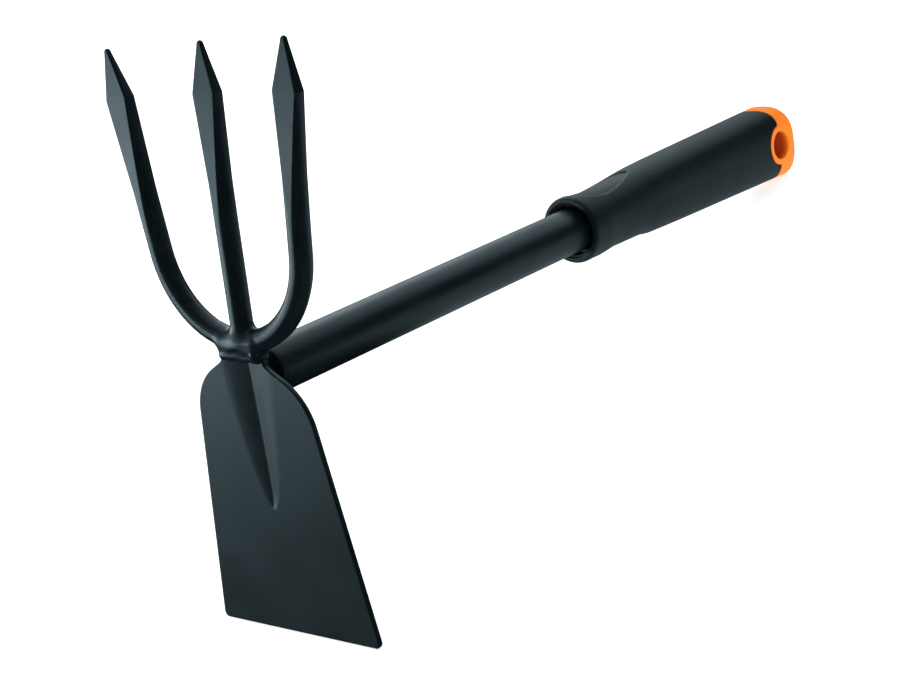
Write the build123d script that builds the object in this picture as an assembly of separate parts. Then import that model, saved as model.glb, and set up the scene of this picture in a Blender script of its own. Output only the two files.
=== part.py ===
from build123d import *
import math
import os

# A short two-sided hand hoe. A flat hoe blade and a three-tine fork share one welded hub
# on the front end of a steel tube, and a two-part moulded grip closes the back end.
#
# Sizes are in millimetres and angles in degrees. The pieces are drawn in the handle's
# frame: the origin is the middle of the tube's front end, +X runs back to the grip,
# +Y is across the blade and +Z is the way that the tines point. At the end everything
# is set down in the pose in which the tool rests on its cutting edge and its butt.

# Handle tube
tube_diameter = 22.0
tube_wall = 1.5
tube_free_length = 209.0
cap_thickness = 2.5

# Hoe blade, a flat plate square to the handle
blade_thickness = 3.0
blade_standoff = 8.1
blade_drop = 113.4
blade_edge_width = 93.0
blade_side_taper = 7.94
blade_corner_radius = 3.5
shoulder_height = 1.3
shoulder_half_width = 24.2
shoulder_slope = 34.3
shoulder_radius = 28.0
neck_width = 24.0
neck_height = 10.8
neck_fillet = 2.0
plate_edge_radius = 0.5
groove_width = 28.0
groove_depth = 2.6
groove_end = 56.5

# Fork of three round rods with forged points
rod_diameter = 9.6
bend_radius = 42.0
outer_run = 9.6
outer_splay = 7.2
outer_lean = 2.3
centre_lean = 4.4
fork_setback = 7.63
point_length = 76.0
point_tip_length = 21.0
point_width = 12.8
point_thickness = 5.2
point_edge_radius = 1.2
tip_width = 2.8
tip_thickness = 2.4
tip_edge_radius = 0.8
round_flat = 0.1

# Hub: the steel block behind the neck, and the weld beads
shank_width = 10.4
shank_cradle = 1.7
shank_foot_margin = 2.0
shank_edge_radius = 0.8
bead_radius = 3.4
bead_width = 23.0
bead_drop = 1.2
bead_front = 1.5
collar_leg = 4.7
collar_height = 9.0
collar_waist = 0.25
collar_waist_height = 0.45
collar_proud = 0.4
fillet_leg = 1.6

# Grip: a hard core under a soft cover
grip_length = 192.5
butt_length = 49.5
mouth_build = 4.9
mouth_round = 3.5
collar_build = 5.75
waist_depth = 1.0
waist_start = 9.0
waist_end_top = 49.0
waist_end_bottom = 53.0
waist_rear_share = 0.3
body_start = 53.0
body_build_top = (6.2, 9.1)
body_build_bottom = (5.8, 10.0)
body_build_side_front = 5.3
core_wall = 1.0
butt_radius_top = 15.0
butt_radius_bottom = 8.0
butt_radius_side = 7.0
section_points = 24
squareness_front = 2.0
squareness_rear = 2.8
cover_thickness = 2.0
socket_clearance = 0.05
lip_clearance = 1.6
lip_step = 1.2
lip_step_depth = 1.2
lip_depth = 5.0

# Hanging hole in the butt, and the edge of the soft cover around it
hole_diameter = 15.2
hole_from_end = 18.2
hole_drop = 0.9
collar_margin = 3.1
lobe_from_end = 18.3
lobe_radius_top = 9.0
lobe_radius_bottom = 5.0
lobe_cover_top = 0.2
lobe_cover_bottom = 1.0

overcut = 1.0
steepest_tilt = 45.0
tilt_halvings = 24
same_height = 1e-6

blade_back = -blade_standoff
blade_front = blade_back - blade_thickness
rod_radius = rod_diameter / 2
tube_radius = tube_diameter / 2
tube_bore_radius = tube_radius - tube_wall
tube_socket_depth = grip_length - butt_length
bend_bottom = neck_height + rod_radius
shank_top = neck_height + shank_cradle
shank_bottom = tube_radius - shank_foot_margin
collar_size = tube_radius + collar_build
mouth_radius = tube_radius + mouth_build
body_build_side = (body_build_side_front, core_wall + cover_thickness)
grip_start = tube_free_length
grip_end = grip_start + grip_length
hole_x = grip_end - hole_from_end


def tan(angle):
    return math.tan(math.radians(angle))


def across(sketch, x, depth):
    """A Y-Z sketch at x, thickened towards +X."""
    plane = Plane(origin=(x, 0, 0), x_dir=(0, 1, 0), z_dir=(1, 0, 0))
    return extrude(plane * sketch, amount=depth)


def side_on(sketch, half_width):
    """An X-Z sketch thickened to both sides of the handle's middle plane."""
    plane = Plane(origin=(0, 0, 0), x_dir=(1, 0, 0), z_dir=(0, -1, 0))
    return extrude(plane * sketch, amount=half_width, both=True)


def largest(shape):
    """The biggest piece of a shape, without the slivers that trimming leaves."""
    return shape.solids().sort_by(SortBy.VOLUME)[-1]


def along_handle(radius, start, end):
    """A cylinder on the handle's axis."""
    plane = Plane(origin=(start, 0, 0), x_dir=(0, 1, 0), z_dir=(1, 0, 0))
    return extrude(plane * Circle(radius), amount=end - start)


# ---- handle ----


def handle_tube():
    """The round steel tube, open at the back end inside the grip."""
    end = tube_free_length + tube_socket_depth
    return along_handle(tube_radius, 0, end) - along_handle(tube_bore_radius, -overcut, end + overcut)


def tube_cap():
    """The disc that closes the tube's front end, flush with it."""
    return along_handle(tube_bore_radius, 0, cap_thickness)


# ---- blade ----


def blade_outline():
    """Half widths of the plate from its cutting edge up to its neck, mirrored into a face."""
    half_edge = blade_edge_width / 2
    side, slope = tan(blade_side_taper), tan(shoulder_slope)
    # the straight side meets the sloping shoulder here
    shoulder_y = (half_edge - side * (shoulder_half_width * slope - shoulder_height + blade_drop)) / (
        1 - side * slope
    )
    shoulder_z = (shoulder_half_width - shoulder_y) * slope - shoulder_height
    neck = neck_width / 2
    neck_z = (shoulder_half_width - neck) * slope - shoulder_height
    right = [(half_edge, -blade_drop), (shoulder_y, shoulder_z), (neck, neck_z), (neck, bend_bottom)]
    left = [(-y, z) for y, z in reversed(right)]
    face = make_face(Polyline(*right, *left, close=True))
    radii = {-blade_drop: blade_corner_radius, shoulder_z: shoulder_radius, neck_z: neck_fillet}
    for height, radius in radii.items():
        corners = [v for v in face.vertices() if abs(v.Y - height) < same_height]
        face = fillet(corners, radius)
    return face


def groove_wedge(front):
    """The long three-sided wedge of the stiffening groove, with its open side at x = front."""
    half, depth = groove_width / 2, groove_depth
    triangle = make_face(Polyline((front, -half), (front, half), (front + depth, 0), close=True))
    tip = Vertex(front, 0, -groove_end)
    return loft([Plane.XY.offset(bend_bottom) * triangle, tip])


def blade(fork):
    """The pressed plate: a groove on the front stands out as a ridge on the back."""
    plate = across(blade_outline(), blade_front, blade_thickness)
    rims = plate.faces().filter_by(Axis.X).edges()
    plate = fillet(rims, plate_edge_radius)
    shape = plate + groove_wedge(blade_back) - groove_wedge(blade_front)
    return shape - fork


# ---- fork ----


def tine_plane(height, lean):
    """A plane that leans back with a tine, its local Y up along the tine."""
    x = height * tan(lean) - fork_setback - bend_bottom * tan(lean)
    return Plane(origin=(x, 0, height), x_dir=(0, 1, 0), z_dir=(1, 0, -tan(lean)))


def forged_point(root, direction, width_direction):
    """A spear point: round at the rod, widest and flat near the tip, and blunt at the end."""
    sections = [
        (0, rod_diameter, rod_diameter, rod_radius - round_flat / 2),
        (point_length - point_tip_length, point_width, point_thickness, point_edge_radius),
        (point_length, tip_width, tip_thickness, tip_edge_radius),
    ]
    faces = []
    for distance, width, thickness, radius in sections:
        plane = Plane(origin=root + direction * distance, x_dir=width_direction, z_dir=direction)
        faces.append(plane * RectangleRounded(width, thickness, radius))
    return loft(faces, ruled=True)


def fork_rise(length):
    """How high above the bend's lowest point an outer rod is, this far along its straight run."""
    splay = math.radians(outer_splay)
    rise = bend_radius * (1 - math.sin(splay)) + length * math.cos(splay)
    return rise * math.cos(math.radians(outer_lean))


def outer_tines():
    """Both outer tines: one rod bent to a U, with a forged point on each end."""
    plane = tine_plane(0, outer_lean)
    bottom = Vector(0, bend_bottom / math.cos(math.radians(outer_lean)))
    middle = bottom + Vector(0, bend_radius)
    turn = math.radians(90 - outer_splay)
    bend_end = middle + Vector(math.sin(turn), -math.cos(turn)) * bend_radius
    path, points = [], []
    for side in (1, -1):
        direction = Vector(side * math.sin(math.radians(outer_splay)), math.cos(math.radians(outer_splay)))
        foot = Vector(side * bend_end.X, bend_end.Y)
        root = foot + direction * outer_run
        path.append((foot, root))
        world_root = plane.from_local_coords(root)
        world_direction = (plane.from_local_coords(root + direction) - world_root).normalized()
        width_direction = world_direction.cross(plane.z_dir)
        points.append(forged_point(world_root, world_direction, width_direction))
    (right_foot, right_root), (left_foot, left_root) = path
    curve = Line(left_root, left_foot) + ThreePointArc(left_foot, bottom, right_foot)
    curve += Line(right_foot, right_root)
    wire = plane * Wire(curve.edges())
    section = Plane(origin=wire @ 0, z_dir=wire % 0) * Circle(rod_radius)
    return sweep(section, path=wire) + points[0] + points[1]


def centre_tine(fork):
    """The straight middle tine, coped to stand on the bend of the outer rod."""
    lean = math.radians(centre_lean)
    direction = Vector(math.sin(lean), 0, math.cos(lean))
    foot = Vector(-fork_setback, 0, bend_bottom)
    length = fork_rise(outer_run + point_length) / math.cos(lean) - point_length
    rod = extrude(Plane(origin=foot, z_dir=direction) * Circle(rod_radius), amount=length)
    point = forged_point(foot + direction * length, direction, Vector(0, 1, 0))
    return rod + point - fork


# ---- hub ----


def shank(fork, plate):
    """The steel block between the blade's neck and the tube's closed end."""
    height = shank_top + shank_bottom
    centre = (blade_back / 2, 0, (shank_top - shank_bottom) / 2)
    block = Pos(*centre) * Box(blade_standoff, shank_width, height)
    block = fillet(block.edges().filter_by(Axis.X), shank_edge_radius)
    return block - fork - plate


def tine_weld(fork):
    """The weld collar around the foot of the middle tine, a little proud of the rods."""
    lean = math.radians(centre_lean)
    direction = Vector(math.sin(lean), 0, math.cos(lean))
    foot = Vector(-fork_setback, 0, bend_bottom)
    base, top = rod_radius / 2, rod_radius + collar_height
    collar_radius = rod_radius + collar_leg
    waist = (rod_radius + collar_leg * collar_waist, base + (top - base) * collar_waist_height)
    flank = ThreePointArc((collar_radius, base), waist, (rod_radius, top))
    rim = Polyline((rod_radius, top), (rod_radius, base), (collar_radius, base))
    profile = make_face(flank + rim)
    plane = Plane(origin=foot, x_dir=(0, 1, 0), z_dir=Vector(0, 1, 0).cross(direction))
    collar = revolve(plane * profile, axis=Axis(foot, direction), revolution_arc=360)
    outline = plane * Rectangle(4 * collar_radius, 4 * top)
    slab = extrude(outline, amount=rod_radius + collar_proud, both=True)
    return (collar & slab) - fork


def blade_weld(fork, plate, block):
    """The thick bead across the front of the neck, where the plate meets the bent rod."""
    x = blade_front + bead_front
    length = bead_width - 2 * bead_radius
    height = neck_height - bead_drop
    bead = Pos(x, 0, height) * Rot(90, 0, 0) * Cylinder(bead_radius, length)
    for side in (1, -1):
        bead += Pos(x, side * length / 2, height) * Sphere(bead_radius)
    behind = Pos(blade_back, 0, height) * Box(2 * bead_front, 2 * bead_width, 4 * bead_radius)
    return largest(bead - behind - fork - plate - block)


def tube_weld(block, bead):
    """The fillet weld down both sides and under the block, where it stands on the tube's end."""
    height = shank_top + shank_bottom + fillet_leg
    plane = Plane(origin=(0, 0, shank_top - height / 2), x_dir=(0, 1, 0), z_dir=(-1, 0, 0))
    seat = plane * Rectangle(shank_width + 2 * fillet_leg, height)
    weld = extrude(seat, amount=fillet_leg, taper=45)
    weld &= along_handle(tube_radius, -fillet_leg - overcut, 0)
    return weld - block - bead


# ---- grip ----


def smooth(value):
    """An S-curve from 0 to 1, level at both ends."""
    t = min(max(value, 0.0), 1.0)
    return t * t * (3 - 2 * t)


def rounding(distance_to_end, radius):
    """How far a rounded end has drawn in at this distance from it."""
    reach = min(max(radius - distance_to_end, 0.0), radius)
    return radius - math.sqrt(radius * radius - reach * reach)


def grip_size(distance, build, waist_end, butt_radius):
    """Size of the grip in one direction from the tube's axis. build is what stands over the tube
    at the front and at the rear of the body."""
    front, rear = build
    along = (distance - body_start) / (grip_length - body_start)
    body = tube_radius + front + (rear - front) * max(along, 0.0)
    dip_in = smooth((distance - waist_start) / (waist_end - waist_start) / (1 - waist_rear_share))
    waist = collar_size - waist_depth * dip_in
    rear_start = waist_end - (waist_end - waist_start) * waist_rear_share
    size = waist + (body - waist) * smooth((distance - rear_start) / (body_start - rear_start + overcut))
    lip_start = rounding(collar_size - mouth_radius, mouth_round)
    lip = rounding(distance + lip_start, mouth_round)
    return size - lip - rounding(grip_length - distance, butt_radius)


def grip_section(distance, inset):
    """One closed cross section of the grip, drawn in by the inset."""
    top = grip_size(distance, body_build_top, waist_end_top, butt_radius_top)
    bottom = grip_size(distance, body_build_bottom, waist_end_bottom, butt_radius_bottom)
    width = grip_size(distance, body_build_side, waist_end_top, butt_radius_side)
    blend = smooth(distance / (2 * body_start))
    power = 2 / (squareness_front + (squareness_rear - squareness_front) * blend)
    points = []
    for index in range(section_points):
        angle = 2 * math.pi * index / section_points
        c, s = math.cos(angle), math.sin(angle)
        y = math.copysign(abs(c) ** power, c) * (width - inset)
        z = math.copysign(abs(s) ** power, s) * ((top if s > 0 else bottom) - inset)
        points.append((y, z))
    plane = Plane(origin=(grip_start + distance, 0, 0), x_dir=(0, 1, 0), z_dir=(1, 0, 0))
    return plane * make_face(Spline(*points, periodic=True))


def grip_stations():
    """Distances along the grip at which its sections are drawn."""
    front = [0, 1.2, 3, 11, 19, 27, 35, 41, 47, 53, 59, 67]
    first = front[-1]
    last = grip_length - butt_radius_top
    body = [first + (last - first) * step / 4 for step in range(1, 5)]
    butt = [last + butt_radius_top * math.sin(math.radians(angle)) for angle in (20, 40, 60, 80)]
    return front + body + butt


def grip_body(inset):
    """The whole outer form of the grip, or its core when drawn in by the cover's thickness."""
    return loft([grip_section(distance, inset) for distance in grip_stations()])


def hanging_hole():
    """The round hole through the butt."""
    return side_on(Pos(hole_x, -hole_drop) * Circle(hole_diameter / 2), 4 * collar_size)


def cover_region():
    """Side view of what the soft cover reaches: two lobes, with a notch around the hole."""
    rear = grip_end - lobe_from_end
    front = grip_start - overcut
    lobe_height = tube_radius + body_build_top[1] + lobe_cover_top
    lobe_depth = tube_radius + body_build_bottom[1] + lobe_cover_bottom
    corners = [(front, -lobe_depth), (rear, -lobe_depth), (rear, lobe_height), (front, lobe_height)]
    face = make_face(Polyline(*corners, close=True))
    for height, radius in ((lobe_height, lobe_radius_top), (-lobe_depth, lobe_radius_bottom)):
        corner = [v for v in face.vertices() if v.X > front + overcut and abs(v.Y - height) < same_height]
        face = fillet(corner, radius)
    notch = Pos(hole_x, -hole_drop) * Circle(hole_diameter / 2 + collar_margin)
    return side_on(face - notch, 4 * collar_size)


def tube_socket(radius):
    """The space that the tube and its clearance take in the grip."""
    return along_handle(radius, grip_start - overcut, grip_start + tube_socket_depth + socket_clearance)


def grip_core(outer, cover):
    """The hard moulding on the tube. It shows at the butt, around the hanging hole."""
    mouth = along_handle(collar_size + overcut, grip_start - overcut, grip_start + lip_depth)
    inner = grip_body(cover_thickness) - mouth
    butt = outer - cover
    core = inner + butt - tube_socket(tube_radius + socket_clearance)
    return core - hanging_hole()


def grip_sleeve(outer, cover, core):
    """The soft moulding over the core, with a stepped mouth that stands clear of the tube."""
    lip_radius = tube_radius + lip_clearance
    lip = along_handle(lip_radius, grip_start - overcut, grip_start + lip_depth)
    step = along_handle(lip_radius + lip_step, grip_start - overcut, grip_start + lip_step_depth)
    socket = tube_socket(tube_radius + socket_clearance)
    return (outer & cover) - core - lip - step - socket - hanging_hole()


def build():
    """All the pieces by name, in the handle's frame."""
    fork = outer_tines()
    plate = blade(fork)
    block = shank(fork, plate)
    bead = blade_weld(fork, plate, block)
    outer = grip_body(0)
    cover = cover_region()
    core = grip_core(outer, cover)
    return {
        "blade": plate,
        "outer_tines": fork,
        "centre_tine": centre_tine(fork),
        "shank": block,
        "tine_weld": tine_weld(fork),
        "blade_weld": bead,
        "tube_weld": tube_weld(block, bead),
        "tube_cap": tube_cap(),
        "handle_tube": handle_tube(),
        "grip_core": core,
        "grip_sleeve": grip_sleeve(outer, cover, core),
    }


def resting_tilt(plate, core):
    """The turn about Y that brings the cutting edge and the butt to the same height."""
    low, high = 0.0, steepest_tilt
    for _ in range(tilt_halvings):
        tilt = (low + high) / 2
        edge = plate.rotate(Axis.Y, tilt).bounding_box().min.Z
        butt = core.rotate(Axis.Y, tilt).bounding_box().min.Z
        low, high = (tilt, high) if butt > edge else (low, tilt)
    return (low + high) / 2


parts = build()
tilt = resting_tilt(parts["blade"], parts["grip_core"])
turned = {name: shape.rotate(Axis.Y, tilt) for name, shape in parts.items()}
boxes = [shape.bounding_box() for shape in turned.values()]
middle_x = (min(box.min.X for box in boxes) + max(box.max.X for box in boxes)) / 2
shift = Pos(-middle_x, 0, -min(box.min.Z for box in boxes))
os.makedirs("parts", exist_ok=True)
for name, shape in turned.items():
    export_step(shift * shape, "parts/" + name + ".step")
print("tilt", round(tilt, 3), "shift", shift.position)
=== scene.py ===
import bpy
import numpy as np
from mathutils import Matrix, Vector


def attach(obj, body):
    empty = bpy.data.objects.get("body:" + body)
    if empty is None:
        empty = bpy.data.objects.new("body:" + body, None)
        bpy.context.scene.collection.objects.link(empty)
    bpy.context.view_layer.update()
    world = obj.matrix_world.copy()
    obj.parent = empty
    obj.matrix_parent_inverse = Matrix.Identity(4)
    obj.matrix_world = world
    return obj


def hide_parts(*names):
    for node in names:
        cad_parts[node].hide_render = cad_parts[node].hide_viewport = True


# A short two-sided hand hoe: a hoe blade and a three-tine fork on a steel tube with a soft grip.
#
# Shapes are worked out in millimetres in the handle's own frame: the origin is the middle of the
# tube's front end, +X runs back to the grip, +Y is across the blade and +Z is the way the tines
# point. handle_frame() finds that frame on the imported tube, and every mesh is turned and scaled
# into the row frame, in metres, as it is made.

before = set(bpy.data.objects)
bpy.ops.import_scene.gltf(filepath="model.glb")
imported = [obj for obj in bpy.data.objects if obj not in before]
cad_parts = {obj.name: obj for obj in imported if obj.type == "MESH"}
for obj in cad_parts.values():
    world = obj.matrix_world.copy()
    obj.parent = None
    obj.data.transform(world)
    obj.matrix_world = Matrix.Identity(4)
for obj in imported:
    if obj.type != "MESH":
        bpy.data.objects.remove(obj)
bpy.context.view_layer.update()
MM = 0.001


# ---- the handle's frame ----


def handle_frame():
    """The handle frame's origin in the row frame, and its three axes as the columns of a matrix."""
    points = np.array([v.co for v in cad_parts["handle_tube"].data.vertices])
    middle = (points.min(0) + points.max(0)) / 2
    rear = points[:, 0] > middle[0]
    along = points[rear].mean(0) - points[~rear].mean(0)
    along[1] = 0
    along /= np.linalg.norm(along)
    across = np.array([0.0, 1.0, 0.0])
    origin = middle - along * ((points - middle) @ along).max()
    return origin, np.column_stack([along, across, np.cross(along, across)])


ORIGIN, AXES = handle_frame()


def to_row(points):
    """Handle-frame millimetres to row-frame metres."""
    return ORIGIN + MM * np.asarray(points) @ AXES.T


def to_handle(piece):
    """A piece's vertices, from the row frame in metres to handle-frame millimetres."""
    points = np.array([v.co for v in piece.data.vertices])
    return (points - ORIGIN) @ AXES / MM


def extent(node):
    """Lowest and highest corner of a CAD node in the handle's frame, in millimetres."""
    local = to_handle(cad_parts[node])
    return local.min(0), local.max(0)


BLADE_LOW = extent("blade")[0]
FORK_LOW, FORK_HIGH = extent("outer_tines")
CENTRE_HIGH = extent("centre_tine")[1]
TUBE_LOW, TUBE_HIGH = extent("handle_tube")
CAP_HIGH = extent("tube_cap")[1]

TUBE_RADIUS = TUBE_HIGH[1]
TUBE_BORE_RADIUS = CAP_HIGH[1]
GRIP_START = extent("grip_sleeve")[0][0]
GRIP_END = extent("grip_core")[1][0]


# ---- mesh building ----


def smooth(t):
    """An S-curve from 0 to 1, level at both ends."""
    t = np.clip(t, 0.0, 1.0)
    return t * t * (3 - 2 * t)


def smin(a, b, k):
    """The lower of two fields, blended where they are nearer than k."""
    h = np.clip(0.5 + 0.5 * (b - a) / k, 0.0, 1.0)
    return b + (a - b) * h - k * h * (1 - h)


def smax(a, b, k):
    """The higher of two fields, blended where they are nearer than k."""
    return -smin(-a, -b, k)


def make_piece(name, points, faces):
    """A smooth-shaded mesh object from handle-frame points."""
    mesh = bpy.data.meshes.new(name)
    mesh.from_pydata(to_row(points).tolist(), [], [tuple(f) for f in faces])
    mesh.validate()
    mesh.shade_smooth()
    obj = bpy.data.objects.new(name, mesh)
    bpy.context.scene.collection.objects.link(obj)
    return obj


def sweep_faces(rings, count):
    """Quads between rings of count points each, wound outwards, with a fan at each end."""
    faces = []
    for ring in range(rings - 1):
        for i in range(count):
            j = (i + 1) % count
            a, b = ring * count, (ring + 1) * count
            faces.append((a + i, a + j, b + j, b + i))
    first, last = rings * count, rings * count + 1
    end = (rings - 1) * count
    faces += [(first, (i + 1) % count, i) for i in range(count)]
    faces += [(last, end + i, end + (i + 1) % count) for i in range(count)]
    return faces


def field_mesh(name, field, xs, ys, zs):
    """The surface where field(x, y, z) is zero, negative inside, as a closed quad mesh."""
    gx, gy, gz = np.meshgrid(xs, ys, zs, indexing="ij")
    value = field(gx, gy, gz)
    grid = np.stack([gx, gy, gz], axis=-1)
    inside = value < 0
    total = np.zeros(tuple(n - 1 for n in value.shape) + (3,))
    hits = np.zeros(tuple(n - 1 for n in value.shape))
    crossed = []
    for axis in range(3):
        low = [slice(None)] * 3
        high = [slice(None)] * 3
        low[axis], high[axis] = slice(None, -1), slice(1, None)
        low, high = tuple(low), tuple(high)
        change = inside[low] != inside[high]
        crossed.append((change, inside[low]))
        where = np.nonzero(change)
        a, b = value[low][where], value[high][where]
        share = (a / (a - b))[:, None]
        point = grid[low][where] * (1 - share) + grid[high][where] * share
        others = [k for k in range(3) if k != axis]
        for step_a in (0, 1):
            for step_b in (0, 1):
                cell = [np.array(w) for w in where]
                cell[others[0]] = cell[others[0]] - step_a
                cell[others[1]] = cell[others[1]] - step_b
                good = np.all([(c >= 0) & (c < n) for c, n in zip(cell, hits.shape)], axis=0)
                index = tuple(c[good] for c in cell)
                np.add.at(total, index, point[good])
                np.add.at(hits, index, 1)
    used = hits > 0
    number = np.full(hits.shape, -1)
    number[used] = np.arange(used.sum())
    points = total[used] / hits[used][:, None]
    points = settle(points, field)
    quads = []
    for axis, (change, start_inside) in enumerate(crossed):
        where = np.nonzero(change)
        u, v = [k for k in range(3) if k != axis]
        good = (where[u] > 0) & (where[v] > 0)
        where = [w[good] for w in where]
        flip = start_inside[tuple(where)] != (axis == 1)
        corner = []
        for du, dv in ((1, 1), (0, 1), (0, 0), (1, 0)):
            cell = list(where)
            cell[u] = cell[u] - du
            cell[v] = cell[v] - dv
            corner.append(number[tuple(cell)])
        quad = np.stack(corner, axis=1)
        quad[~flip] = quad[~flip][:, ::-1]
        quads.append(quad)
    return make_piece(name, points, np.concatenate(quads).tolist())


def settle(points, field, rounds=3, nudge=0.02, least=0.05, longest=0.4):
    """Moves points onto the surface of the field by Newton steps, along its slope. least is the
    smallest squared slope to divide by and longest is the longest step."""
    for _ in range(rounds):
        x, y, z = points.T
        value = field(x, y, z)
        slope = np.stack(
            [
                field(x + nudge, y, z) - field(x - nudge, y, z),
                field(x, y + nudge, z) - field(x, y - nudge, z),
                field(x, y, z + nudge) - field(x, y, z - nudge),
            ],
            axis=1,
        ) / (2 * nudge)
        length = np.maximum((slope**2).sum(1), least)
        step = (value / length)[:, None] * slope
        reach = np.linalg.norm(step, axis=1, keepdims=True)
        points = points - step * np.minimum(1.0, longest / np.maximum(reach, 1e-9))
    return points


def steps(*stops):
    """Grid lines through (place, spacing from here on) stops; the last stop gives only the end."""
    lines = []
    for (start, spacing), (end, _) in zip(stops, stops[1:]):
        count = max(1, round((end - start) / spacing))
        lines.append(np.linspace(start, end, count, endpoint=False))
    return np.concatenate(lines + [[stops[-1][0]]])


def even_grid(spacing, *spans):
    """Grid lines at about one spacing over each (low, high) span."""
    return [steps((low, spacing), (high, 0)) for low, high in spans]


# ---- blade ----

EDGE_Z = BLADE_LOW[2]
BLADE_TOP = 13.5
BLADE_THICKNESS = 2.5
# The plate is this much thinner than the CAD's. Their back faces are in the same place.
BLADE_INSET = 0.5
BLADE_FRONT = BLADE_LOW[0] + BLADE_INSET
SIDE_SLOPE = np.tan(np.radians(7.94))
CORNER_RADIUS = 3.0
SHOULDER_POINT_Y = 24.2
SHOULDER_RUN = 20.0
NECK_RADIUS = 2.0
RIM_RADIUS = 0.7
# The half width at the cutting edge; the shoulder's height, slope and radius; the neck's half width.
LEFT_SIDE = (47.7, 1.5, np.radians(29.0), 26.0, 13.8)
RIGHT_SIDE = (46.9, -1.5, np.radians(30.0), 28.0, 10.9)

GROOVE_TIP_Z = -56.5
GROOVE_TOP_Z = 7.0
GROOVE_TOP_HALF = 15.0
GROOVE_DEPTH = 2.9
# The share of its height where the groove stops growing, and the powers that shape its run-out
# and its flanks. GROOVE_FLOOR rounds the bottom of the V.
GROOVE_LIMIT = 1.15
GROOVE_RUN_OUT = 0.38
GROOVE_FLANK = 1.45
GROOVE_FLOOR = 0.3

# The sheet's grid: places in from its rim, the count of columns, and how they crowd at the middle.
RIM_PLACES = np.array([0, 0.05, 0.16, 0.34, 0.7, 1.1])
BLADE_COLUMNS = 95
COLUMN_POWER = 1.25


def blade_half_width(z, side):
    """Width to one side of the middle at height z, for LEFT_SIDE or RIGHT_SIDE."""
    half_edge, shoulder_z, slope, radius, neck = side
    taper = np.arctan(SIDE_SLOPE)
    side_at = half_edge - SIDE_SLOPE * (shoulder_z - EDGE_Z)
    rise = (side_at - SHOULDER_POINT_Y) / (1 / np.tan(slope) - SIDE_SLOPE)
    corner = np.array([side_at + SIDE_SLOPE * rise, shoulder_z - rise])
    reach = radius * np.tan((np.pi / 2 - slope - taper) / 2)
    start = corner - reach * np.array([-np.sin(taper), np.cos(taper)])
    centre = start - radius * np.array([np.cos(taper), np.sin(taper)])
    turn = np.linspace(taper, np.pi / 2 - slope, 20)
    arc_w = centre[0] + radius * np.cos(turn)
    arc_z = centre[1] + radius * np.sin(turn)
    heights = np.concatenate([[EDGE_Z], arc_z, [arc_z[-1] + SHOULDER_RUN]])
    widths = np.concatenate([[half_edge], arc_w, [arc_w[-1] - SHOULDER_RUN / np.tan(slope)]])
    width = smax(np.interp(z, heights, widths), neck, NECK_RADIUS)
    low = np.clip(CORNER_RADIUS - (z - EDGE_Z), 0, CORNER_RADIUS)
    return width - CORNER_RADIUS + np.sqrt(CORNER_RADIUS**2 - low**2)


def groove_offset(y, z):
    """How far the pressed groove pushes the sheet back at a point of its front."""
    rise = np.clip((z - GROOVE_TIP_Z) / (GROOVE_TOP_Z - GROOVE_TIP_Z), 0, GROOVE_LIMIT)
    half = np.maximum(GROOVE_TOP_HALF * np.sqrt(rise), 0.05)
    depth = GROOVE_DEPTH * rise**GROOVE_RUN_OUT
    slant = np.clip(1 - np.sqrt(y * y + GROOVE_FLOOR**2) / half, 0, 1)
    return depth * slant**GROOVE_FLANK * (rise > 0)


def blade():
    """Front and back sheets over rows from the edge to the neck, joined by a rounded rim."""
    near_edge = np.arange(EDGE_Z + 1.4, EDGE_Z + 5, 0.45)
    above = np.arange(EDGE_Z + 5.2, BLADE_TOP, 1.15)
    rows = np.concatenate([EDGE_Z + RIM_PLACES, near_edge, above])
    z = np.repeat(rows[:, None], BLADE_COLUMNS, axis=1)
    left = blade_half_width(z, LEFT_SIDE)
    right = blade_half_width(z, RIGHT_SIDE)
    edge = len(RIM_PLACES) - 1
    between = slice(edge, BLADE_COLUMNS - edge)
    across = np.linspace(-1, 1, BLADE_COLUMNS - 2 * edge)
    across = np.sign(across) * np.abs(across) ** COLUMN_POWER
    wide = np.where(across > 0, left[:, between], right[:, between])
    y = np.zeros_like(z)
    y[:, between] = (wide - RIM_PLACES[-1]) * across
    for i in range(edge):
        y[:, i] = -right[:, i] + RIM_PLACES[i]
        y[:, BLADE_COLUMNS - 1 - i] = left[:, i] - RIM_PLACES[i]
    distance = np.minimum(np.minimum(left - y, right + y), z - EDGE_Z)
    reach = np.clip(RIM_RADIUS - distance, 0, RIM_RADIUS)
    draw_in = RIM_RADIUS - np.sqrt(RIM_RADIUS**2 - reach**2)
    offset = groove_offset(y, z)
    front = np.stack([BLADE_FRONT + draw_in + offset, y, z], axis=-1)
    back = np.stack([BLADE_FRONT + BLADE_THICKNESS - draw_in + offset, y, z], axis=-1)
    points = np.concatenate([front.reshape(-1, 3), back.reshape(-1, 3)])
    index = np.arange(z.size).reshape(z.shape)
    other = index + z.size
    faces = []
    for i in range(len(rows) - 1):
        for j in range(BLADE_COLUMNS - 1):
            faces.append((index[i, j], index[i + 1, j], index[i + 1, j + 1], index[i, j + 1]))
            faces.append((other[i, j], other[i, j + 1], other[i + 1, j + 1], other[i + 1, j]))
    loop = np.concatenate([index[0], index[1:, -1], index[-1, -2::-1], index[-2:0:-1, 0]])
    for a, b in zip(loop, np.roll(loop, -1)):
        faces.append((a, b, b + z.size, a + z.size))
    return make_piece("hoe_blade", points, faces)


# ---- fork ----

ROD_RADIUS = 4.8
BEND_RADIUS = 42.0
BEND_BOTTOM = FORK_LOW[2] + ROD_RADIUS
BEND_SECTIONS = 73
SPLAY = np.radians(7.2)
# The rods' middle lies this far ahead of the tube's end at the bend, and leans back with height.
ROD_AHEAD = 7.63
OUTER_LEAN = np.tan(np.radians(2.3))
CENTRE_LEAN = np.tan(np.radians(4.4))

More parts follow.
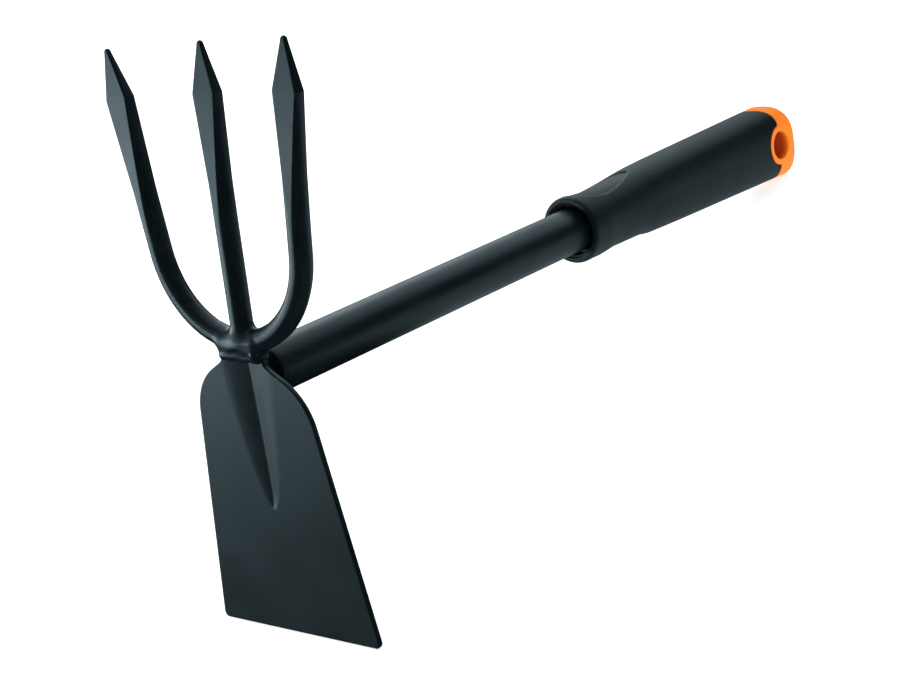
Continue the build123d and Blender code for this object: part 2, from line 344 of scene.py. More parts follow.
POINT_START = 60.5
POINT_WIDEST = 116.6
POINT_HALF_WIDTH = 6.4
POINT_HALF_THICKNESS = 2.6
FLAT_HALF_WIDTH = 6.15
THINNING_POWER = 1.5
WIDENING_POWER = 2
# Half width and half thickness just under the rounded tip, and the flat's share of that width.
TIP_HALF = (1.35, 1.15)
TIP_FLAT_SHARE = 0.75
TIP_ROUND = 1.9
TIP_TURNS = np.radians([18, 36, 54, 70, 83])

# A section's points crowd at the edges of its flats, and the sections at the widest place.
EDGE_TURNS = 0.028 * np.array([-2, -1, 0, 1, 2])
EDGE_BLEND = 0.16
LEAST_CORNER = 0.2
SECTION_STEP = 1.6
WIDEST_GAP = 0.3
POINT_GAP = 1.4
POINT_SECTIONS = 14


def tine_section(z, tip_z):
    """Half width, half thickness and half width of the flat at height z of a tine."""
    forged = np.clip((z - POINT_START) / (POINT_WIDEST - POINT_START), 0, 1)
    end = np.clip((z - POINT_WIDEST) / (tip_z - POINT_WIDEST), 0, 1)
    thick = ROD_RADIUS - (ROD_RADIUS - POINT_HALF_THICKNESS) * forged**THINNING_POWER
    wide = ROD_RADIUS + (POINT_HALF_WIDTH - ROD_RADIUS) * forged**WIDENING_POWER
    round_flat = np.sqrt(max(ROD_RADIUS**2 - thick**2, 1e-4))
    last_flat = np.sqrt(ROD_RADIUS**2 - POINT_HALF_THICKNESS**2)
    flat = round_flat + (FLAT_HALF_WIDTH - last_flat) * forged**WIDENING_POWER
    wide += (TIP_HALF[0] - wide) * end
    thick += (TIP_HALF[1] - thick) * end
    flat += (TIP_HALF[0] * TIP_FLAT_SHARE - flat) * end
    return wide, thick, flat


def tine_ring(wide, thick, flat):
    """The points of an ellipse with two flats, as (thickness way, width way)."""
    bulge = thick / np.sqrt(max(1 - (flat / wide) ** 2, 1e-4))
    corner = max(np.arctan2(flat, thick), LEAST_CORNER)
    quarter = np.concatenate(
        [
            np.linspace(0, corner + EDGE_TURNS[0], 4, endpoint=False),
            corner + EDGE_TURNS,
            np.linspace(corner + EDGE_TURNS[-1], np.pi / 2, 4)[1:],
        ]
    )
    angles = np.concatenate([quarter, np.pi - quarter[-2::-1]])
    angles = np.concatenate([angles, angles[1:-1] + np.pi])
    c, s = np.cos(angles), np.sin(angles)
    side = 1 / np.sqrt((c / bulge) ** 2 + (s / wide) ** 2)
    face = thick / np.maximum(np.abs(c), 1e-6)
    radius = smin(side, face, EDGE_BLEND)
    return radius * c, radius * s


def tine_heights(start, tip_z):
    """Heights of a straight tine's sections, from start to its tip."""
    widest = [POINT_WIDEST - WIDEST_GAP, POINT_WIDEST, POINT_WIDEST + WIDEST_GAP]
    below = np.arange(start, widest[0], SECTION_STEP)
    above = np.linspace(widest[-1] + POINT_GAP, tip_z, POINT_SECTIONS)
    return np.concatenate([below, widest, above])


def tip_rings(ring, middle, outward):
    """Shrinking rings that round off a tine beyond its last section."""
    return [
        middle + (ring - middle) * np.cos(turn) + outward * TIP_ROUND * np.sin(turn)
        for turn in TIP_TURNS
    ]


def tine_mesh(name, path, lean, tip_z, two_points):
    """Sweeps tine sections along a path and rounds off its last end, or both ends. The flats
    face the way that a fork with this lean faces."""
    forward = np.array([1.0, 0, -lean])
    tangent = np.gradient(path, axis=0)
    tangent /= np.linalg.norm(tangent, axis=1)[:, None]
    rings = []
    for place, direction in zip(path, tangent):
        thick_way = forward - direction * (forward @ direction)
        thick_way /= np.linalg.norm(thick_way)
        wide_way = np.cross(direction, thick_way)
        a, b = tine_ring(*tine_section(place[2], tip_z))
        rings.append(place + np.outer(a, thick_way) + np.outer(b, wide_way))
    drawn = rings + tip_rings(rings[-1], path[-1], tangent[-1])
    if two_points:
        drawn = tip_rings(rings[0], path[0], -tangent[0])[::-1] + drawn
    ends = [drawn[0].mean(0), drawn[-1].mean(0)]
    faces = sweep_faces(len(drawn), len(rings[0]))
    return make_piece(name, np.concatenate(drawn + [ends]), faces)


def outer_tines():
    """Both outer tines as one bent rod, from point to point."""
    tip_z = FORK_HIGH[2] - TIP_ROUND
    turn = np.pi / 2 - SPLAY
    bend = np.linspace(-turn, turn, BEND_SECTIONS)
    bend_y = BEND_RADIUS * np.sin(bend)
    bend_z = BEND_BOTTOM + BEND_RADIUS * (1 - np.cos(bend))
    heights = tine_heights(bend_z[-1] + 2, tip_z)
    arm_y = bend_y[-1] + (heights - bend_z[-1]) * np.tan(SPLAY)
    y = np.concatenate([-arm_y[::-1], bend_y, arm_y])
    z = np.concatenate([heights[::-1], bend_z, heights])
    x = -ROD_AHEAD + (z - BEND_BOTTOM) * OUTER_LEAN
    path = np.stack([x, y, z], axis=1)
    return tine_mesh("outer_tine_rod", path, OUTER_LEAN, tip_z, two_points=True)


def centre_tine():
    """The straight middle tine, from inside the bend to its point."""
    tip_z = CENTRE_HIGH[2] - TIP_ROUND
    z = tine_heights(BEND_BOTTOM, tip_z)
    x = -ROD_AHEAD + (z - BEND_BOTTOM) * CENTRE_LEAN
    path = np.stack([x, np.zeros_like(x), z], axis=1)
    return tine_mesh("centre_tine_rod", path, CENTRE_LEAN, tip_z, two_points=False)


# ---- welds ----

# Where weld metal fills no corner it lies this far under the steel.
SINK = 0.05
# How widely each weld blends into what it joins, and the beads' wrinkles, in millimetres.
ROD_FILLET = 4.6
BEAD_FILLET = 2.4
TUBE_FILLET = 2.6
BEAD_BLEND = 0.8
RIPPLE = 0.05
WRINKLE = 0.07
FINE_WRINKLE = 0.06
# The bead's lower edge: its height, and how steeply it drops beyond a place to the right.
BEAD_LOW = 7.9
BEAD_DROP = 0.32
BEAD_DROP_Y = -5.0
BEAD_WAVE = 0.15

SHANK_HALF = 5.2
SHANK_CENTRE = (-4, 0, 1.75)
TUBE_WELD_FRONT = -7.4


def bend_field(x, y, z):
    """Distance to the bent rod's surface near the hub."""
    x = x + ROD_AHEAD - (z - BEND_BOTTOM) * OUTER_LEAN
    ring = np.sqrt(y * y + (z - BEND_BOTTOM - BEND_RADIUS) ** 2) - BEND_RADIUS
    return np.sqrt(x * x + ring * ring) - ROD_RADIUS


def centre_field(x, y, z):
    """Distance to the middle tine's surface near its foot."""
    x = x + ROD_AHEAD - (z - BEND_BOTTOM) * CENTRE_LEAN
    away = np.sqrt(x * x + y * y) - ROD_RADIUS
    return np.maximum(away, BEND_BOTTOM - z)


def rods_field(x, y, z):
    """The bend and the middle tine, with the weld metal that fills the corners between them."""
    return smin(bend_field(x, y, z), centre_field(x, y, z), ROD_FILLET)


def box_field(x, y, z, centre, half, radius):
    """Distance to a box with rounded edges."""
    qx, qy, qz = (np.abs(p - c) - h + radius for p, c, h in zip((x, y, z), centre, half))
    outside = np.sqrt(np.maximum(qx, 0) ** 2 + np.maximum(qy, 0) ** 2 + np.maximum(qz, 0) ** 2)
    return outside + np.minimum(np.maximum(qx, np.maximum(qy, qz)), 0) - radius


def ball_field(x, y, z, centre, radii):
    """Rough distance to an ellipsoid's surface."""
    share = np.sqrt(sum(((p - c) / r) ** 2 for p, c, r in zip((x, y, z), centre, radii)))
    return (share - 1) * min(radii)


def tine_weld():
    """Weld metal that fills the corners between the middle tine's foot and the bend."""

    def field(x, y, z):
        near = np.exp(-(((z - 23.0) / 5.0) ** 2))
        ripple = RIPPLE * np.sin(1.7 * z + 0.9 * np.sin(0.7 * y + 1.0)) * near
        bound = box_field(x, y, z, centre=(-ROD_AHEAD, 0, 21), half=(9, 15, 13), radius=4)
        return np.maximum(rods_field(x, y, z) + SINK + ripple, bound)

    grid = even_grid(0.4, (-15, 3), (-16, 16), (7, 35))
    return field_mesh("tine_weld_metal", field, *grid)


def blade_weld():
    """The wrinkled bead that closes the joint between the neck and the bent rod."""

    def field(x, y, z):
        coarse = WRINKLE * np.sin(1.5 * z + 0.2 * y + 0.7 * np.sin(0.35 * y))
        wave = coarse + FINE_WRINKLE * np.sin(0.5 * y + 0.6 * z)
        bead = box_field(x, y, z, centre=(-8.4, 1.1, 13.2), half=(4.4, 12.4, 6.2), radius=3.4)
        bead = bead + wave
        drop = ball_field(x, y, z, centre=(-12.0, -8.4, 11.4), radii=(1.3, 1.4, 1.0))
        metal = smin(bead, drop, BEAD_BLEND)
        metal = smin(metal, rods_field(x, y, z) + SINK, BEAD_FILLET)
        low = BEAD_LOW - BEAD_DROP * np.maximum(BEAD_DROP_Y - y, 0) + BEAD_WAVE * np.sin(0.8 * y)
        metal = smax(metal, low - z, BEAD_BLEND)
        bound = box_field(x, y, z, centre=(-9.5, 0.9, 13), half=(6.5, 13.4, 10), radius=3)
        return np.maximum(metal, bound)

    grid = even_grid(0.35, (-17, -2), (-14, 15.5), (2, 24))
    return field_mesh("blade_weld_metal", field, *grid)


def tube_weld():
    """The fillet between the block and the tube's closed end."""

    def field(x, y, z):
        away = np.sqrt(y * y + z * z)
        block = box_field(x, y, z, centre=SHANK_CENTRE, half=(4.6, SHANK_HALF, 10.7), radius=0.9)
        disc = np.maximum(away - TUBE_RADIUS + 0.6, np.abs(x - 0.5) - 0.6)
        joint = smin(block, disc, TUBE_FILLET)
        round_end = away - TUBE_RADIUS + 0.25
        bead = WRINKLE * np.sin(2.4 * z) * np.exp(-((x + 0.8) ** 2))
        return np.maximum(np.maximum(joint + SINK + bead, round_end), TUBE_WELD_FRONT - x)

    grid = even_grid(0.35, (-8, 2), (-12, 12), (-12, 13.5))
    return field_mesh("tube_weld_metal", field, *grid)


# ---- handle tube ----

TUBE_RIM = 0.6
TUBE_SECTIONS = 24
CAP_SEAM = 0.25
# The disc's inner rings: one that all but closes its middle, and one farther out.
CAP_MIDDLE = 0.02
CAP_RING = 3.0


def lathe(name, profile, count=96):
    """A closed ring of profile points (along X, radius) turned about the handle's axis."""
    angles = np.linspace(0, 2 * np.pi, count, endpoint=False)
    points = [(x, r * np.cos(a), r * np.sin(a)) for x, r in profile for a in angles]
    faces = []
    rings = len(profile)
    for k in range(rings):
        n = (k + 1) % rings
        for i in range(count):
            j = (i + 1) % count
            faces.append((k * count + i, n * count + i, n * count + j, k * count + j))
    return make_piece(name, points, faces)


def arc_profile(x, r, radius, start, end, count=5):
    """Points of a quarter round in the (along, radius) plane; angles in degrees."""
    angles = np.radians(np.linspace(start, end, count))
    return [(x + radius * np.cos(a), r + radius * np.sin(a)) for a in angles]


def handle_tube():
    """The tube with a slightly rounded front rim."""
    front, rear = TUBE_LOW[0], TUBE_HIGH[0]
    rim = arc_profile(front + TUBE_RIM, TUBE_RADIUS - TUBE_RIM, TUBE_RIM, 180, 90)
    outer = [(x, TUBE_RADIUS) for x in np.linspace(front + 4, rear - 1, TUBE_SECTIONS)]
    end = [(rear, TUBE_RADIUS), (rear, TUBE_BORE_RADIUS)]
    inner = [(x, TUBE_BORE_RADIUS) for x in np.linspace(rear - 1, front, TUBE_SECTIONS)]
    return lathe("steel_tube", rim + outer + end + inner)


def tube_cap():
    """The welded disc that closes the tube, with a fine seam around it."""
    front, rear = TUBE_LOW[0], CAP_HIGH[0]
    radius = TUBE_BORE_RADIUS
    face = [(front, CAP_MIDDLE), (front, CAP_RING), (front, radius - 2 * CAP_SEAM)]
    seam = [(front + CAP_SEAM, radius - CAP_SEAM), (front + CAP_SEAM, radius)]
    back = [(rear, radius), (rear, CAP_RING), (rear, CAP_MIDDLE)]
    return lathe("tube_end_disc", face + seam + back)


# ---- grip ----

GRIP_LENGTH = GRIP_END - GRIP_START
COLLAR_SIZE = 16.75
MOUTH_RADIUS = 15.9
MOUTH_ROUND = 3.5
WAIST_START = 10.0
WAIST_RUN = 15.0
WAIST_DROP = 1.0
BODY_START = 53.0
# For the top, the bottom and the sides of the grip: the body's size at its front and at its rear,
# from where to where it rises out of the waist, and the size of the butt's rounding.
TOP_LINE = ((17.2, 20.1), (30.0, 61.0), 15.0)
BOTTOM_LINE = ((16.8, 21.0), (45.0, 54.0), 8.0)
SIDE_LINE = ((16.3, 14.0), (33.0, 63.0), 7.0)
BUTT_SHARE = 0.998
# The cross-section's power is round at the mouth and grows squarer over this run.
ROUND_POWER = 2.0
SQUARER = 0.8
SQUARE_RUN = 90.0

# The thumb rest: a shallow leaf-shaped hollow on top, behind the mouth.
REST_START = 4.0
REST_LENGTH = 47.0
REST_HALF_WIDTH = 9.8
REST_DEPTH = 1.0
REST_SKEW = 0.66
REST_RIM = 2.6

# The mouth: a shallow step, a wider hollow, and the socket around the tube.
LIP_RADIUS = 12.6
LIP_STEP = 1.2
LIP_STEP_DEPTH = 0.9
LIP_STEP_RUN = 0.5
LIP_DEPTH = 5.0
SOCKET_GAP = 0.05
SOCKET_DEPTH = 60.0
COVER_WALL = 3.0
MOUTH_WALL = 2.0
CORE_GAP = 0.2
CORE_REACH = 40.0

# The butt: the hanging hole, and the cover's two lobes as (height, corner radius).
HOLE_X = GRIP_END - 18.2
HOLE_Z = -0.9
HOLE_RADIUS = 7.6
HOLE_LIP = 0.9
COLLAR_MARGIN = 3.1
LOBE_X = GRIP_END - 18.3
LOBE_TOP = (20.3, 9.0)
LOBE_BOTTOM = (22.0, 5.0)
NOTCH_BLEND = 1.6
SEAM = 0.28
EDGE_ROUND = 0.5

# The grids' spans across and up, and the length of the butt where their lines are closer.
GRIP_SPANS = ((-18, 18), (-22.6, 21.6))
BUTT_RUN = 34.0

# Painted shade: this attribute darkens the hole's wall to a deeper orange, standing in for the shade inside
# the hole.
HOLE_PAINTED_SHADE = "hole_painted_shade"
PAINTED_SHADE_DEPTH = 4.0


def grip_reach(distance, line):
    """Size of the grip along one of its lines at a distance behind its mouth."""
    (front, rear), (start, end), butt = line
    along = np.clip((distance - BODY_START) / (GRIP_LENGTH - BODY_START), 0, 1)
    size = front + (rear - front) * along
    waist = COLLAR_SIZE - WAIST_DROP * smooth((distance - WAIST_START) / WAIST_RUN)
    size = waist + (size - waist) * smooth((distance - start) / (end - start))
    drawn = MOUTH_ROUND - (COLLAR_SIZE - MOUTH_RADIUS)
    near = np.clip(np.sqrt(MOUTH_ROUND**2 - drawn**2) - distance, 0, MOUTH_ROUND)
    size = size - (MOUTH_ROUND - np.sqrt(MOUTH_ROUND**2 - near**2))
    back = np.clip(butt - (GRIP_LENGTH - distance), 0, butt * BUTT_SHARE)
    return size - (butt - np.sqrt(butt**2 - back**2))


def thumb_rest(distance, y):
    """Depth of the thumb rest at a distance behind the mouth, deepest near its front."""
    leaf = np.clip((distance - REST_START) / REST_LENGTH, 0, 1)
    half = REST_HALF_WIDTH * np.sqrt(np.maximum(np.sin(np.pi * leaf**REST_SKEW), 0)) + 0.01
    share = np.clip(1 - (y / half) ** 2, 0, 1)
    step = smooth(share * REST_RIM)
    hollow = REST_DEPTH * (1.25 - 0.5 * leaf) * step * (0.5 + 0.5 * share)
    return np.where((leaf > 0) & (leaf < 1), hollow, 0)


def grip_outer(x, y, z):
    """Field of the whole outer form of the grip."""
    distance = x - GRIP_START
    side = grip_reach(distance, SIDE_LINE)
    upper = np.where(z > 0, grip_reach(distance, TOP_LINE), grip_reach(distance, BOTTOM_LINE))
    power = ROUND_POWER + SQUARER * smooth(distance / SQUARE_RUN)
    radial = (np.abs(y / side) ** power + np.abs(z / upper) ** power + 1e-9) ** (1 / power)
    scale = np.sqrt(y * y + z * z) / np.maximum(radial, 1e-6)
    body = (radial - 1) * np.where(radial > 1e-4, scale, side)
    body = body + np.where(z > 0, thumb_rest(distance, y), 0)
    ends = np.maximum(GRIP_START - x, x - GRIP_END)
    return smax(body, ends, EDGE_ROUND)


def hole_field(x, z):
    """Distance from the hanging hole's wall, negative inside the hole."""
    return np.sqrt((x - HOLE_X) ** 2 + (z - HOLE_Z) ** 2) - HOLE_RADIUS


def cover_region(x, z):
    """Side view of what the soft cover reaches: two lobes with a notch around the hole."""

    def corner(height, edge, radius):
        dx = x - (LOBE_X - radius)
        dz = height - (edge - radius)
        rounded = np.sqrt(np.maximum(dx, 0) ** 2 + np.maximum(dz, 0) ** 2) - radius
        return np.maximum(rounded, np.minimum(dx - radius, dz - radius))

    lobes = np.where(z > HOLE_Z, corner(z, *LOBE_TOP), corner(-z, *LOBE_BOTTOM))
    notch = HOLE_RADIUS + COLLAR_MARGIN - np.sqrt((x - HOLE_X) ** 2 + (z - HOLE_Z) ** 2)
    return smax(lobes, notch, NOTCH_BLEND)


def grip_sleeve():
    """The soft cover, with its rounded, stepped mouth and its edge around the butt."""

    def field(x, y, z):
        outer = grip_outer(x, y, z)
        solid = smax(outer, cover_region(x, z) + SEAM / 2, EDGE_ROUND)
        radius = np.sqrt(y * y + z * z)
        depth = x - GRIP_START
        step = LIP_RADIUS + LIP_STEP * (1 - smooth((depth - LIP_STEP_DEPTH) / LIP_STEP_RUN))
        mouth = smax(radius - step, depth - LIP_DEPTH, 0.3)
        socket = radius - TUBE_RADIUS - SOCKET_GAP
        hollow = np.minimum(mouth, np.maximum(socket, depth - SOCKET_DEPTH))
        inner = np.maximum(outer + COVER_WALL, GRIP_START + LIP_DEPTH + MOUTH_WALL - x)
        return smax(smax(solid, -hollow, 0.35), -inner, 0.2)

    xs = steps(
        (GRIP_START - 1.5, 0.4), (GRIP_START + 12, 0.9), (GRIP_END - BUTT_RUN, 0.45), (GRIP_END + 1.2, 0)
    )
    return field_mesh("soft_grip_cover", field, xs, *even_grid(0.5, *GRIP_SPANS))


def grip_core():
    """The hard moulding that shows at the butt, with the hanging hole through it."""

    def field(x, y, z):
        outer = grip_outer(x, y, z)
        shown = smax(outer, SEAM / 2 - cover_region(x, z), EDGE_ROUND)
        within = np.maximum(outer + COVER_WALL + CORE_GAP, LOBE_X - CORE_REACH - x)
        solid = smin(shown, within, 0.2)
        rim = grip_reach(x - GRIP_START, SIDE_LINE)
        flare = np.clip(HOLE_LIP - (rim - np.abs(y)), 0, HOLE_LIP)
        flare = HOLE_LIP - np.sqrt(np.maximum(HOLE_LIP**2 - flare**2, 0))
        wall = hole_field(x, z) - flare
        return smax(solid, -wall, 0.25)

    xs = steps((LOBE_X - (CORE_REACH + 2), 0.6), (GRIP_END - BUTT_RUN, 0.4), (GRIP_END + 1.2, 0))
    piece = field_mesh("orange_grip_core", field, xs, *even_grid(0.45, *GRIP_SPANS))
    x, y, z = to_handle(piece).T
    # painted shade: darkens the hanging hole's wall, fading out towards the grip's sides
    inside = 1 - smooth((hole_field(x, z) + 0.1) / 0.5)
    depth = smooth((SIDE_LINE[0][1] - np.abs(y)) / PAINTED_SHADE_DEPTH)
    painted_shade = piece.data.attributes.new(HOLE_PAINTED_SHADE, "FLOAT", "POINT")
    painted_shade.data.foreach_set("value", (inside * depth).astype(np.float32))
    return piece


# ---- materials ----


class Nodes:
    """Short calls for adding linked shader nodes to one material."""

    def __init__(self, name):
        self.material = bpy.data.materials.new(name)
        self.material.use_nodes = True
        self.tree = self.material.node_tree
        self.shader = self.tree.nodes["Principled BSDF"]

    def add(self, kind, **inputs):
        node = self.tree.nodes.new(kind)
        for key, value in inputs.items():
            socket = node.inputs[key.replace("_", " ")]
            if isinstance(value, bpy.types.NodeSocket):
                self.tree.links.new(value, socket)
            else:
                socket.default_value = value
        return node

    def noise(self, coords, scale, detail=3.0, roughness=0.55):
        node = self.add("ShaderNodeTexNoise", Vector=coords, Scale=scale, Detail=detail, Roughness=roughness)
        return node.outputs["Fac"]

    def ramp(self, value, stops):
        node = self.add("ShaderNodeValToRGB", Fac=value)
        for element, stop in zip(node.color_ramp.elements, (stops[0], stops[-1])):
            element.position, element.color = stop
        return node.outputs["Color"]

    def spread(self, value, low, high, to_low, to_high):
        node = self.tree.nodes.new("ShaderNodeMapRange")
        self.tree.links.new(value, node.inputs["Value"])
        for key, number in zip(("From Min", "From Max", "To Min", "To Max"), (low, high, to_low, to_high)):
            node.inputs[key].default_value = number
        return node.outputs["Result"]

    def mix(self, share, first, second):
        node = self.tree.nodes.new("ShaderNodeMix")
        node.data_type = "RGBA"
        # the node's inputs are numbered: 0 is the factor, 6 and 7 are the two colours
        for key, value in zip((0, 6, 7), (share, first, second)):
            if isinstance(value, bpy.types.NodeSocket):
                self.tree.links.new(value, node.inputs[key])
            else:
                node.inputs[key].default_value = value
        return node.outputs[2]

    def bump(self, height, distance, strength=1.0, under=None):
        node = self.add("ShaderNodeBump", Height=height, Distance=distance, Strength=strength)
        if under is not None:
            self.tree.links.new(under, node.inputs["Normal"])
        return node.outputs["Normal"]

    def convex_edges(self, threshold, reach):
        """1 on convex edges and 0 elsewhere."""
        geometry = self.tree.nodes.new("ShaderNodeNewGeometry")
        return self.spread(geometry.outputs["Pointiness"], threshold, threshold + reach, 0.0, 1.0)

    def link(self, value, socket):
        self.tree.links.new(value, self.shader.inputs[socket])

    def fix(self, **inputs):
        for key, value in inputs.items():
            self.shader.inputs[key.replace("_", " ")].default_value = value


def coated_steel(name, roughness=0.42, tint=1.0):
    """Satin black powder coat: fine orange peel, faint blotches, and convex edges lightened, partly as
    rubbed paint and partly as a painted highlight along the rims.
    """
    n = Nodes(name)
    coords = n.tree.nodes.new("ShaderNodeTexCoord").outputs["Object"]
    blotch = n.noise(coords, 45.0, 4.0)
    fine = n.noise(coords, 900.0, 4.0)
    peel = n.noise(coords, 2600.0, 2.0)
    dark = (0.0004 * tint, 0.0028 * tint, 0.0042 * tint, 1)
    light = (0.0012 * tint, 0.0052 * tint, 0.0072 * tint, 1)
    base = n.ramp(blotch, [(0.3, dark), (0.7, light)])
    speck = n.spread(fine, 0.45, 0.8, 0.0, 0.35)
    base = n.mix(speck, base, (0.006, 0.012, 0.015, 1))
    # convex edges lightened: partly rubbed paint, partly a painted highlight standing in for light caught on
    # the rounded rims
    edge = n.convex_edges(0.53, 0.05)
    broken = n.spread(fine, 0.35, 0.65, 0.25, 1.0)
    rubbed_and_lit_edges = n.add("ShaderNodeMath")
    rubbed_and_lit_edges.operation = "MULTIPLY"
    n.tree.links.new(edge, rubbed_and_lit_edges.inputs[0])
    n.tree.links.new(broken, rubbed_and_lit_edges.inputs[1])
    share = n.spread(rubbed_and_lit_edges.outputs[0], 0.0, 1.0, 0.0, 0.5)
    n.link(n.mix(share, base, (0.04, 0.052, 0.056, 1)), "Base Color")
    n.link(n.spread(blotch, 0.25, 0.75, roughness - 0.04, roughness + 0.06), "Roughness")
    coarse = n.bump(fine, 0.00006, 0.6)
    n.link(n.bump(peel, 0.000025, 0.7, coarse), "Normal")
    n.fix(Specular_IOR_Level=0.5, Specular_Tint=(0.62, 0.9, 1.0, 1))
    return n.material


def soft_grip(name):
    """Matt black soft moulding with a fine spark-eroded texture."""
    n = Nodes(name)
    coords = n.tree.nodes.new("ShaderNodeTexCoord").outputs["Object"]
    blotch = n.noise(coords, 60.0, 3.0)
    grain = n.noise(coords, 1900.0, 3.0, 0.7)
    base = n.ramp(blotch, [(0.3, (0.0008, 0.0030, 0.0044, 1)), (0.7, (0.0018, 0.0050, 0.0068, 1))])
    dust = n.spread(grain, 0.5, 0.8, 0.0, 0.25)
    n.link(n.mix(dust, base, (0.007, 0.013, 0.016, 1)), "Base Color")
    n.link(n.spread(grain, 0.3, 0.7, 0.5, 0.64), "Roughness")
    n.link(n.bump(grain, 0.00007, 0.8), "Normal")
    n.fix(Specular_IOR_Level=0.5, Specular_Tint=(0.66, 0.92, 1.0, 1))
    return n.material


def orange_plastic(name):
    """Satin orange moulded plastic, with faint flow marks, a fine grain and painted shade in the hanging
    hole.
    """
    n = Nodes(name)
    coords = n.tree.nodes.new("ShaderNodeTexCoord").outputs["Object"]
    flow = n.noise(coords, 70.0, 3.0)
    grain = n.noise(coords, 1700.0, 3.0)
    base = n.ramp(flow, [(0.3, (0.74, 0.165, 0.004, 1)), (0.7, (0.81, 0.195, 0.006, 1))])
    rub = n.spread(grain, 0.55, 0.85, 0.0, 0.15)
    base = n.mix(rub, base, (0.86, 0.25, 0.02, 1))
    # painted shade inside the hanging hole: the attribute mixes the orange towards a dark red-orange
    painted_hole_shade = n.tree.nodes.new("ShaderNodeAttribute")
    painted_hole_shade.attribute_name = HOLE_PAINTED_SHADE
    n.link(n.mix(painted_hole_shade.outputs["Fac"], base, (0.38, 0.03, 0.004, 1)), "Base Color")
    n.link(n.spread(grain, 0.3, 0.7, 0.4, 0.54), "Roughness")
    n.link(n.bump(grain, 0.00004, 0.6), "Normal")
    n.fix(Specular_IOR_Level=0.14)
    return n.material


def floor_material():
    """White paper almost without gloss, with a glow that keeps it near white under the tool."""
    n = Nodes("studio_floor")
    n.fix(Base_Color=(0.72, 0.72, 0.72, 1), Roughness=0.95, Specular_IOR_Level=0.1)
    n.fix(Emission_Color=(1.0, 1.0, 1.0, 1), Emission_Strength=0.6)
    return n.material


# ---- putting it together ----


def coat(piece, material):
    """Gives a piece one material in place of any that it has."""
    piece.data.materials.clear()
    piece.data.materials.append(material)


def finish_piece(piece, material, slot, *nodes):
    """Gives a piece its material and body, and hides the CAD nodes that it stands for. The slot is not used.
    """
    coat(piece, material)
    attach(piece, "root")
    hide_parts(*nodes)


steel = coated_steel("powder_coated_steel")
weld_steel = coated_steel("powder_coated_weld", 0.4, 1.15)
rubber = soft_grip("soft_grip_moulding")
orange = orange_plastic("orange_core_plastic")

finish_piece(blade(), steel, "coated_steel", "blade")
finish_piece(outer_tines(), steel, "coated_steel", "outer_tines")
finish_piece(centre_tine(), steel, "coated_steel", "centre_tine")
finish_piece(tine_weld(), weld_steel, "coated_weld", "tine_weld")
finish_piece(blade_weld(), weld_steel, "coated_weld", "blade_weld")
finish_piece(tube_weld(), weld_steel, "coated_weld", "tube_weld")
finish_piece(handle_tube(), steel, "coated_steel", "handle_tube")
finish_piece(tube_cap(), steel, "coated_steel", "tube_cap")
finish_piece(grip_sleeve(), rubber, "soft_grip", "grip_sleeve")
finish_piece(grip_core(), orange, "grip_core", "grip_core")
# the shank keeps its CAD mesh: little of it is seen, and it is a plain block
coat(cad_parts["shank"], steel)


# ---- studio ----

FLOOR_RADIUS = 8.0
FLOOR_CORNERS = 64
FLOOR_Z = -0.0002
PANEL_TINT = (0.84, 0.96, 1.0)
# The energy that gives one square metre of panel a brightness of 1.
ENERGY_PER_AREA = 4
# The camera's place in millimetres, and its right and up, in the handle's frame.
CAMERA_PLACE = (-496.3, -576.8, 211.6)
CAMERA_RIGHT = (0.6422, -0.747, -0.1718)
CAMERA_UP = (0.3148, 0.0526, 0.9477)
LENS, SENSOR = 76.57, 36.0
# What the panels are aimed at, in the row frame in metres.
HEAD = (-0.18, 0.0, 0.1)
MIDDLE = (-0.02, 0.0, 0.09)


def studio_floor():
    """A wide pale disc just under the tool, hidden from reflections."""
    angles = np.linspace(0, 2 * np.pi, FLOOR_CORNERS, endpoint=False)
    points = [(FLOOR_RADIUS * np.cos(a), FLOOR_RADIUS * np.sin(a), FLOOR_Z) for a in angles]
    mesh = bpy.data.meshes.new("studio_floor")
    mesh.from_pydata(points, [], [tuple(range(FLOOR_CORNERS))])
    obj = bpy.data.objects.new("studio_floor", mesh)
    bpy.context.scene.collection.objects.link(obj)
    mesh.materials.append(floor_material())
    obj.visible_glossy = False


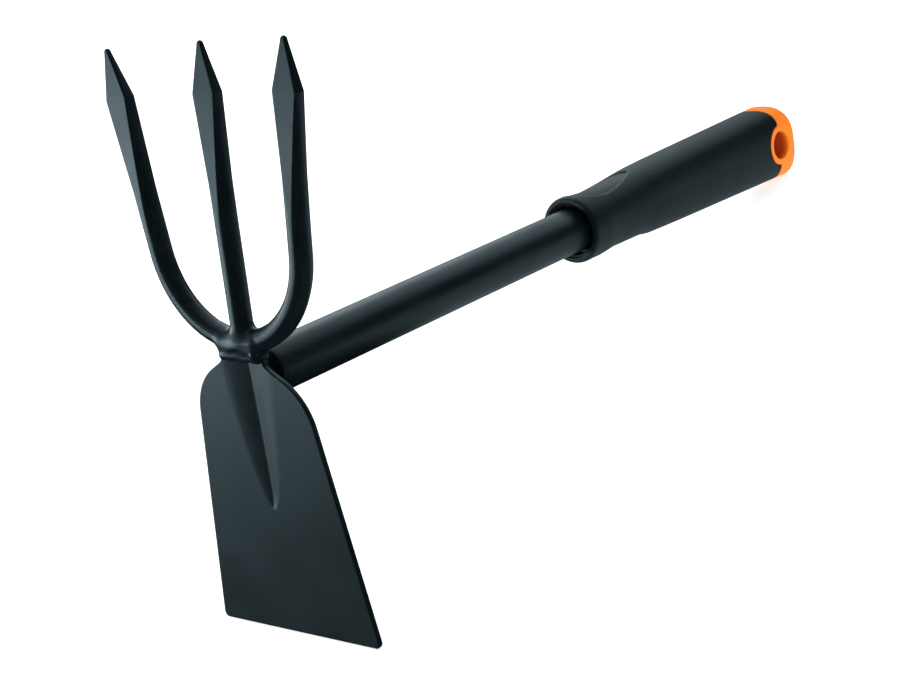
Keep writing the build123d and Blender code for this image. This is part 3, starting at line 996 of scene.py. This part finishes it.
def soft_light(name, place, target, size, brightness):
    """A large soft panel at a place, aimed at a target, in metres. The surround's brightness is 1."""
    data = bpy.data.lights.new(name, "AREA")
    data.shape = "RECTANGLE"
    data.size, data.size_y = size
    data.energy = ENERGY_PER_AREA * size[0] * size[1] * brightness
    data.color = PANEL_TINT
    obj = bpy.data.objects.new(name, data)
    obj.location = place
    obj.rotation_euler = (Vector(target) - Vector(place)).to_track_quat("-Z", "Y").to_euler()
    obj.visible_camera = False
    bpy.context.scene.collection.objects.link(obj)


def camera():
    """The camera, where the photograph was taken from."""
    place = to_row([CAMERA_PLACE])[0]
    right = AXES @ np.array(CAMERA_RIGHT)
    up = AXES @ np.array(CAMERA_UP)
    back = np.cross(right, up)
    data = bpy.data.cameras.new("camera")
    data.lens, data.sensor_width = LENS, SENSOR
    data.clip_start, data.clip_end = 0.01, 50.0
    obj = bpy.data.objects.new("camera", data)
    turn = Matrix(np.column_stack([right, up, back]).tolist()).to_4x4()
    obj.matrix_world = Matrix.Translation(Vector(place)) @ turn
    bpy.context.scene.collection.objects.link(obj)
    bpy.context.scene.camera = obj


def sky(strength):
    """An even white surround that lights the floor and leaves reflections to the panels."""
    world = bpy.data.worlds.new("studio_surround")
    world.use_nodes = True
    background = world.node_tree.nodes["Background"]
    background.inputs["Color"].default_value = (1.0, 1.0, 1.0, 1)
    background.inputs["Strength"].default_value = strength
    world.cycles_visibility.glossy = False
    bpy.context.scene.world = world


studio_floor()
camera()
sky(1.0)
soft_light("left_panel", (-0.85, 1.45, 0.2), HEAD, (1.5, 0.4), 6.0)
soft_light("left_top_panel", (-0.85, 1.35, 0.95), HEAD, (1.5, 0.7), 0.6)
soft_light("back_panel", (1.0, 1.6, 0.9), MIDDLE, (1.9, 1.3), 2.1)
soft_light("rear_panel", (1.75, 0.15, 1.0), MIDDLE, (1.7, 1.1), 1.1)
soft_light("top_panel", (0.4, 0.5, 1.7), MIDDLE, (1.4, 1.0), 1.1)
soft_light("low_panel", (0.1, -0.02, 0.002), (0.1, -0.02, 1.0), (0.3, 0.62), 0.46)
bpy.context.scene.view_settings.view_transform = "Standard"
